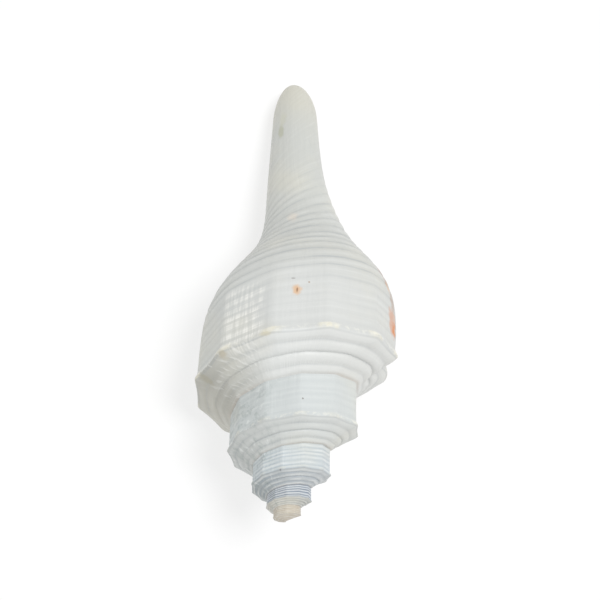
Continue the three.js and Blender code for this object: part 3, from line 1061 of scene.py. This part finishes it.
def spottedTone(at, tone):
    # specks sit in a tenth of the cells of a cell pattern, then the marks of the list come one by one
    cells = tree.nodes.new("ShaderNodeTexVoronoi")
    feed(cells, {"Vector": at.object, "Scale": shellLook["specksPerMetre"]})
    tint = tree.nodes.new("ShaderNodeSeparateColor")
    feed(tint, {0: cells.outputs["Color"]})
    chosen = smoothRange(tint.outputs[0], 0.9, 0.92)
    dots = smoothRange(cells.outputs["Distance"], 0.03, 0.06, 0.7, 0.0)
    at.speck = times(dots, chosen)
    tone = blend(times(at.speck, at.onOutside), tone, linear(shellLook["speckTone"]))
    wobble = noise(at.object, 420.0, 3.0)
    for middle, size, markTone, strength in marks:
        share = times(markMask(at, wobble, middle, size, strength), at.onOutside)
        tone = blend(share, tone, linear(markTone))
    return tone


# Inside of the aperture
insideLook = {
    "lipTone": (236, 228, 214),
    "tone": (226, 168, 128),
    "deepTone": (206, 128, 92),
    "toneFrom": (0.0, 0.16),  # turns in from the lip
    "deepFrom": (0.2, 0.6),
    "roughness": 0.2,
}


def insideTone(at, tone):
    # white at the lip, then apricot, darker deep inside, with pale growth lines
    lip = shaded(insideLook["lipTone"])
    depth = minus(coil["lipTurn"] + opening["curl"][0], at.turn)
    inside = blend(smoothRange(depth, *insideLook["toneFrom"]), lip, shaded(insideLook["tone"]))
    deep = smoothRange(depth, *insideLook["deepFrom"])
    inside = blend(deep, inside, shaded(insideLook["deepTone"]))
    inside = blend(smoothRange(at.growth, 0.4, 0.8, 0.0, 0.3), inside, lip)
    tone = blend(smoothRange(at.cut, 0.3, 0.5), tone, lip)
    return blend(smoothRange(at.cut, 0.6, 0.9), tone, inside)


def gloss(at, fine):
    # duller in the grooves, uneven by the fine grain, smooth inside the aperture
    grain = smoothRange(fine, 0.3, 0.7, -0.06, 0.08)
    rough = plus(grain, times(at.groove, 0.1), shellLook["roughness"])
    return blendValue(smoothRange(at.cut, 0.6, 0.9), rough, insideLook["roughness"])


def bumpHeight(at, fine):
    # a sum of growth lines, threads, crossed lines, folds and grain, less the pits of the specks
    height = plus(
        times(at.growth, 1.1),
        times(at.threads, 0.3),
        times(at.crossed, 0.5),
        times(at.folds, 0.3),
        times(fine, 0.15),
        times(at.speck, -0.5),
    )
    return blendValue(smoothRange(at.cut, 0.3, 0.6), height, times(at.growth, 0.3))


def shadeShell():
    # white shell with cords, growth lines and stains that follow the coil, and an apricot inside
    surface = tree.nodes["Principled BSDF"]
    at = surfacePlace()
    tone = groundTone(at)
    tone = noduleTone(at, tone)
    tone = keelTone(at, tone)
    tone = zoneTone(at, tone, "tip")
    tone = growthTone(at, tone)
    tone = grooveTone(at, tone)
    tone = foldTone(at, tone)
    tone = blotchAndHighlightTone(at, tone)
    tone = crossedTone(at, tone)
    tone = spottedTone(at, tone)
    tone = insideTone(at, tone)
    fine = noise(at.object, 900.0, 2.0)
    bump = tree.nodes.new("ShaderNodeBump")
    feed(bump, {"Strength": shellLook["bumpStrength"], "Distance": shellLook["bumpDistance"]})
    feed(bump, {"Height": bumpHeight(at, fine)})
    feed(surface, {"Base Color": tone, "Roughness": gloss(at, fine), "Normal": bump.outputs["Normal"]})


shadeShell()
shell.data.materials.clear()
shell.data.materials.append(shellMaterial)
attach(shell, "root")
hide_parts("shell")
print("shell material made")

# Floor, light and camera
studio = {
    "floorTone": (150, 150, 150),
    "floorGlow": 0.68,
    "floorSize": 3.0,
    "sky": 0.66,
    "keyDirection": (0.16, -0.06, 0.98),
    "keyDistance": 1.1,
    "keySize": 0.5,
    "keyPower": 6.2,
    "lookAt": (3.63, 69.2, 0.0),  # mm on the standing shell
    "cameraDistance": 273.4,  # mm
    "cameraPitch": 33.0,  # degrees
    "cameraRoll": 0.24,
    "lens": 54.0,
}


def makeFloor():
    size = studio["floorSize"]
    mesh = bpy.data.meshes.new("floor")
    corners = [(-size, -size, 0), (size, -size, 0), (size, size, 0), (-size, size, 0)]
    mesh.from_pydata(corners, [], [(0, 1, 2, 3)])
    material = bpy.data.materials.new("floor")
    material.use_nodes = True
    surface = material.node_tree.nodes["Principled BSDF"]
    surface.inputs["Base Color"].default_value = linear(studio["floorTone"])
    surface.inputs["Roughness"].default_value = 0.9
    surface.inputs["Specular IOR Level"].default_value = 0.0
    surface.inputs["Emission Color"].default_value = (1, 1, 1, 1)
    surface.inputs["Emission Strength"].default_value = studio["floorGlow"]
    mesh.materials.append(material)
    floor = bpy.data.objects.new("floor", mesh)
    bpy.context.scene.collection.objects.link(floor)


def makeLight():
    world = bpy.data.worlds.new("studio")
    world.use_nodes = True
    background = world.node_tree.nodes["Background"]
    background.inputs["Color"].default_value = (1.0, 1.0, 1.0, 1.0)
    background.inputs["Strength"].default_value = studio["sky"]
    bpy.context.scene.world = world
    key = bpy.data.lights.new("key", "AREA")
    key.shape = "DISK"
    key.size = studio["keySize"]
    key.energy = studio["keyPower"]
    lamp = bpy.data.objects.new("key", key)
    direction = Vector(studio["keyDirection"]).normalized()
    lamp.location = direction * studio["keyDistance"]
    lamp.rotation_euler = direction.to_track_quat("Z", "Y").to_euler()
    bpy.context.scene.collection.objects.link(lamp)


def makeCamera():
    # worked out on the standing shell, then laid down with it
    pitch, roll = math.radians(studio["cameraPitch"]), math.radians(studio["cameraRoll"])
    view = Vector((0, math.sin(pitch), -math.cos(pitch)))
    right = Vector((1, 0, 0))
    up = Vector((0, math.cos(pitch), math.sin(pitch)))
    turned = right * math.cos(roll) + up * math.sin(roll), up * math.cos(roll) - right * math.sin(roll)
    eye = Vector(studio["lookAt"]) - view * studio["cameraDistance"]
    axes = Matrix((turned[0], turned[1], -view)).transposed().to_4x4()
    standing = Matrix.Translation(eye * 0.001) @ axes
    data = bpy.data.cameras.new("photo")
    data.lens = studio["lens"]
    data.sensor_width = 36.0
    data.clip_start = 0.01
    camera = bpy.data.objects.new("photo", data)
    camera.matrix_world = Matrix.Translation(shift) @ restMatrix() @ standing
    bpy.context.scene.collection.objects.link(camera)
    bpy.context.scene.camera = camera


makeFloor()
makeLight()
makeCamera()
bpy.context.scene.view_settings.view_transform = "Standard"
print("studio made")
